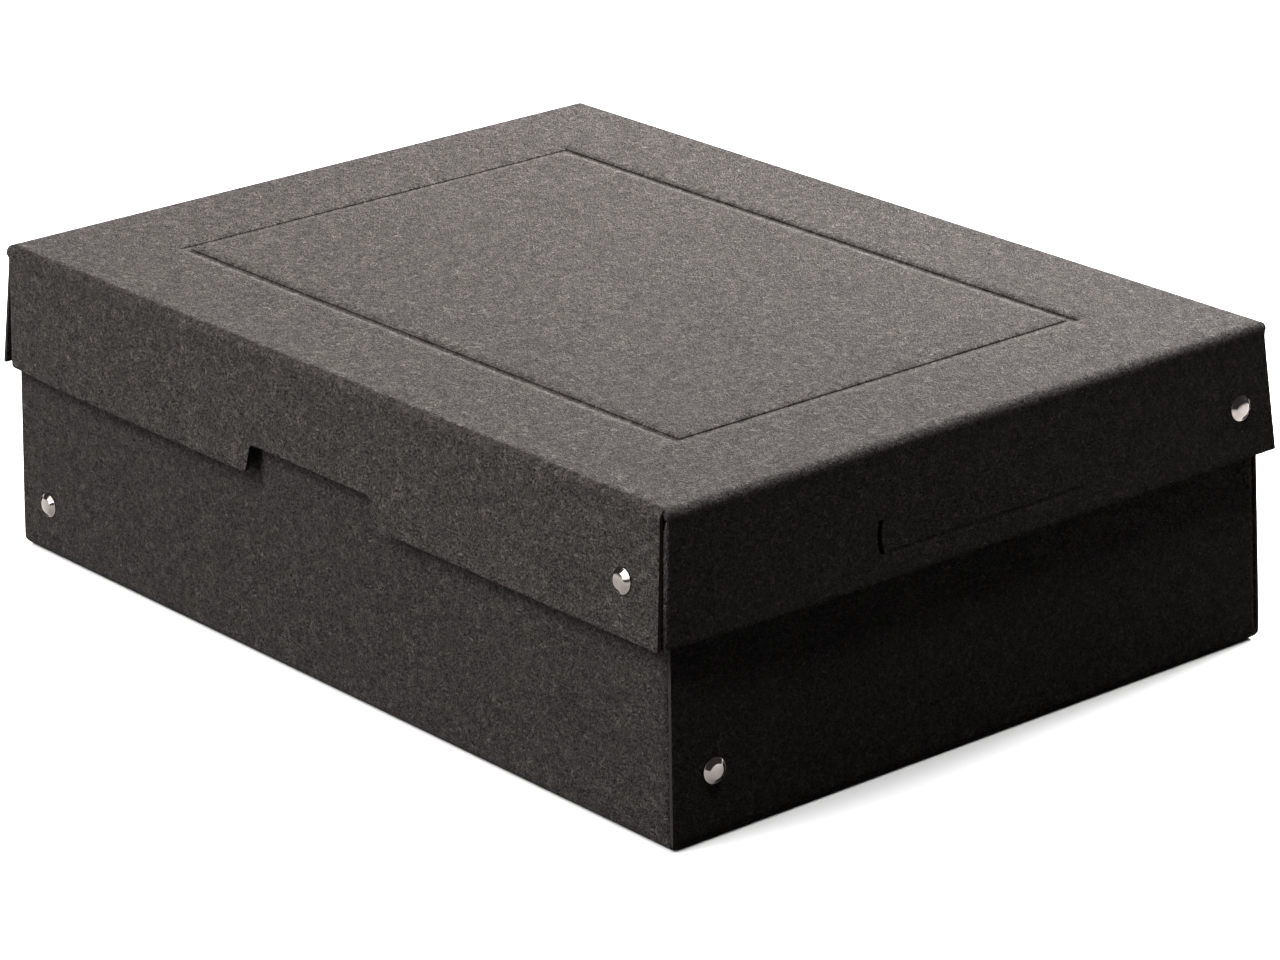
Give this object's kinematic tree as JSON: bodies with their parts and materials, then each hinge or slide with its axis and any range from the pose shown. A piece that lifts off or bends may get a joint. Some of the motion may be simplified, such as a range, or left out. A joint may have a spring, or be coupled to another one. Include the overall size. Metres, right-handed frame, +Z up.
{
  "type": "archival box",
  "caption": "Shallow black board document box with a lift-off lid, riveted corners, a debossed frame on the lid and finger notches in the long skirts.",
  "frame": {"origin": "centre of the underside of the tray, on the surface that the box stands on", "axes": "+X along the long side, towards the short side that carries the label field; +Y along the short side; +Z up, the way the lid lifts"},
  "size_m": [0.3322, 0.2446, 0.1022],
  "materials": {
    "board": "matt through-dyed solid board with a laid, fibrous face",
    "rivet_cap": "bright nickel plate",
    "rivet_post": "dull nickel plate"
  },
  "bodies": {
    "tray": {"tray_blank": "board", "tray_rivet_cap_front": "rivet_cap", "tray_rivet_post_front": "rivet_post", "tray_rivet_cap_right": "rivet_cap", "tray_rivet_post_right": "rivet_post", "tray_rivet_cap_back": "rivet_cap", "tray_rivet_post_back": "rivet_post", "tray_rivet_cap_left": "rivet_cap", "tray_rivet_post_left": "rivet_post"},
    "lid": {"lid_blank": "board", "lid_rivet_cap_front": "rivet_cap", "lid_rivet_post_front": "rivet_post", "lid_rivet_cap_right": "rivet_cap", "lid_rivet_post_right": "rivet_post", "lid_rivet_cap_back": "rivet_cap", "lid_rivet_post_back": "rivet_post", "lid_rivet_cap_left": "rivet_cap", "lid_rivet_post_left": "rivet_post"}
  },
  "joints": [
    {"name": "lid_lift", "type": "slide", "parent": "tray", "child": "lid", "axis": [0, 0, 1], "range_m": [0, 0.15]}
  ]
}
